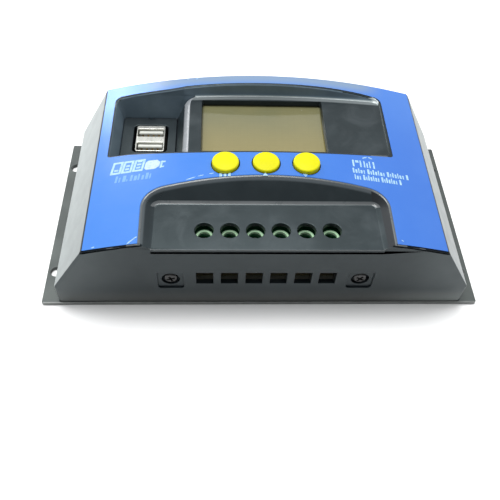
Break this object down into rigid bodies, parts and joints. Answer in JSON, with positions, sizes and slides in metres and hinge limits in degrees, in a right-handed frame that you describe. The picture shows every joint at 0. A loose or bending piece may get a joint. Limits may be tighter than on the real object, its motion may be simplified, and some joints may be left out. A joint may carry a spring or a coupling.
{
  "type": "solar charge controller",
  "caption": "Wall-mounted charge controller: crowned plastic case on a flanged metal plate, with display window, push buttons, upright USB sockets and a screw terminal row.",
  "frame": {"origin": "centre of the back plate's underside, the mounting face", "axes": "+X along the case's long side, +Y from the wire entries towards the display, +Z out of the mounting face through the front label"},
  "size_m": [0.19, 0.096, 0.0494],
  "materials": {
    "plate_grey": "dark grey anodised, satin",
    "case_black": "fine textured moulded ABS",
    "label_blue": "printed polycarbonate label, semi gloss",
    "cap_yellow": "moulded, semi gloss",
    "terminal_green": "glass filled nylon",
    "zinc_steel": "zinc plated",
    "clamp_brass": "nickel plated brass",
    "board_green": "solder masked laminate",
    "display_glass": "blank reflective liquid crystal cell",
    "backlight_white": "diffusing",
    "socket_steel": "nickel plated folded steel",
    "socket_white": "moulded",
    "chip_black": "moulded epoxy",
    "pad_grey": "silicone pad",
    "can_sleeve": "shrink sleeve",
    "ferrite": "painted powder core"
  },
  "bodies": {
    "housing": {"base_plate": "plate_grey", "case_shell": "case_black", "face_overlay": "label_blue", "usb_bezel": "case_black", "case_screw_front_left": "zinc_steel", "case_screw_front_right": "zinc_steel", "case_screw_rear_left": "zinc_steel", "case_screw_rear_right": "zinc_steel", "board_screw_1": "zinc_steel", "board_screw_2": "zinc_steel", "board_screw_3": "zinc_steel", "board_screw_4": "zinc_steel", "display_screw_1": "zinc_steel", "clamp_bar_screw_1": "zinc_steel", "display_screw_2": "zinc_steel", "clamp_bar_screw_2": "zinc_steel", "main_board": "board_green", "display_board": "board_green", "board_header": "chip_black", "lcd_glass": "display_glass", "lcd_backlight": "backlight_white", "lcd_frame": "case_black", "usb_shell": "socket_steel", "usb_insulator": "socket_white", "switch_body_left": "chip_black", "switch_body_middle": "chip_black", "switch_body_right": "chip_black", "terminal_block": "terminal_green", "mosfet_1": "chip_black", "mosfet_2": "chip_black", "mosfet_3": "chip_black", "mosfet_4": "chip_black", "thermal_pad": "pad_grey", "clamp_bar": "plate_grey", "capacitor_input": "can_sleeve", "capacitor_output": "can_sleeve", "inductor": "ferrite", "controller_chip": "chip_black"},
    "button_left": {"button_cap_left": "cap_yellow", "switch_plunger_left": "chip_black"},
    "button_middle": {"button_cap_middle": "cap_yellow", "switch_plunger_middle": "chip_black"},
    "button_right": {"button_cap_right": "cap_yellow", "switch_plunger_right": "chip_black"},
    "pole_1_screw": {"terminal_screw_1": "zinc_steel"},
    "pole_1_clamp": {"terminal_clamp_1": "clamp_brass"},
    "pole_2_screw": {"terminal_screw_2": "zinc_steel"},
    "pole_2_clamp": {"terminal_clamp_2": "clamp_brass"},
    "pole_3_screw": {"terminal_screw_3": "zinc_steel"},
    "pole_3_clamp": {"terminal_clamp_3": "clamp_brass"},
    "pole_4_screw": {"terminal_screw_4": "zinc_steel"},
    "pole_4_clamp": {"terminal_clamp_4": "clamp_brass"},
    "pole_5_screw": {"terminal_screw_5": "zinc_steel"},
    "pole_5_clamp": {"terminal_clamp_5": "clamp_brass"},
    "pole_6_screw": {"terminal_screw_6": "zinc_steel"},
    "pole_6_clamp": {"terminal_clamp_6": "clamp_brass"}
  },
  "joints": [
    {"name": "button_left_press", "type": "slide", "parent": "housing", "child": "button_left", "axis": [0, 0, -1], "range_m": [0, 0.0003], "stiffness_N_per_m": 60, "springref_m": -0.0005},
    {"name": "button_middle_press", "type": "slide", "parent": "housing", "child": "button_middle", "axis": [0, 0, -1], "range_m": [0, 0.0003], "stiffness_N_per_m": 60, "springref_m": -0.0005},
    {"name": "button_right_press", "type": "slide", "parent": "housing", "child": "button_right", "axis": [0, 0, -1], "range_m": [0, 0.0003], "stiffness_N_per_m": 60, "springref_m": -0.0005},
    {"name": "pole_1_screw_turn", "type": "hinge", "parent": "housing", "child": "pole_1_screw", "pos_m": [-0.0248, -0.0382, 0.0303], "axis": [0, 0, 1], "range_deg": [-1800, 0]},
    {"name": "pole_1_clamp_lift", "type": "slide", "parent": "housing", "child": "pole_1_clamp", "axis": [0, 0, 1], "range_m": [0, 0.0035]},
    {"name": "pole_2_screw_turn", "type": "hinge", "parent": "housing", "child": "pole_2_screw", "pos_m": [-0.01464, -0.0382, 0.0303], "axis": [0, 0, 1], "range_deg": [-1800, 0]},
    {"name": "pole_2_clamp_lift", "type": "slide", "parent": "housing", "child": "pole_2_clamp", "axis": [0, 0, 1], "range_m": [0, 0.0035]},
    {"name": "pole_3_screw_turn", "type": "hinge", "parent": "housing", "child": "pole_3_screw", "pos_m": [-0.00448, -0.0382, 0.0303], "axis": [0, 0, 1], "range_deg": [-1800, 0]},
    {"name": "pole_3_clamp_lift", "type": "slide", "parent": "housing", "child": "pole_3_clamp", "axis": [0, 0, 1], "range_m": [0, 0.0035]},
    {"name": "pole_4_screw_turn", "type": "hinge", "parent": "housing", "child": "pole_4_screw", "pos_m": [0.00568, -0.0382, 0.0303], "axis": [0, 0, 1], "range_deg": [-1800, 0]},
    {"name": "pole_4_clamp_lift", "type": "slide", "parent": "housing", "child": "pole_4_clamp", "axis": [0, 0, 1], "range_m": [0, 0.0035]},
    {"name": "pole_5_screw_turn", "type": "hinge", "parent": "housing", "child": "pole_5_screw", "pos_m": [0.01584, -0.0382, 0.0303], "axis": [0, 0, 1], "range_deg": [-1800, 0]},
    {"name": "pole_5_clamp_lift", "type": "slide", "parent": "housing", "child": "pole_5_clamp", "axis": [0, 0, 1], "range_m": [0, 0.0035]},
    {"name": "pole_6_screw_turn", "type": "hinge", "parent": "housing", "child": "pole_6_screw", "pos_m": [0.026, -0.0382, 0.0303], "axis": [0, 0, 1], "range_deg": [-1800, 0]},
    {"name": "pole_6_clamp_lift", "type": "slide", "parent": "housing", "child": "pole_6_clamp", "axis": [0, 0, 1], "range_m": [0, 0.0035]}
  ],
  "couplings": [
    {"joint": "pole_1_screw_turn", "follows": "pole_1_clamp_lift", "rad_per_m": -8976},
    {"joint": "pole_2_screw_turn", "follows": "pole_2_clamp_lift", "rad_per_m": -8976},
    {"joint": "pole_3_screw_turn", "follows": "pole_3_clamp_lift", "rad_per_m": -8976},
    {"joint": "pole_4_screw_turn", "follows": "pole_4_clamp_lift", "rad_per_m": -8976},
    {"joint": "pole_5_screw_turn", "follows": "pole_5_clamp_lift", "rad_per_m": -8976},
    {"joint": "pole_6_screw_turn", "follows": "pole_6_clamp_lift", "rad_per_m": -8976}
  ]
}
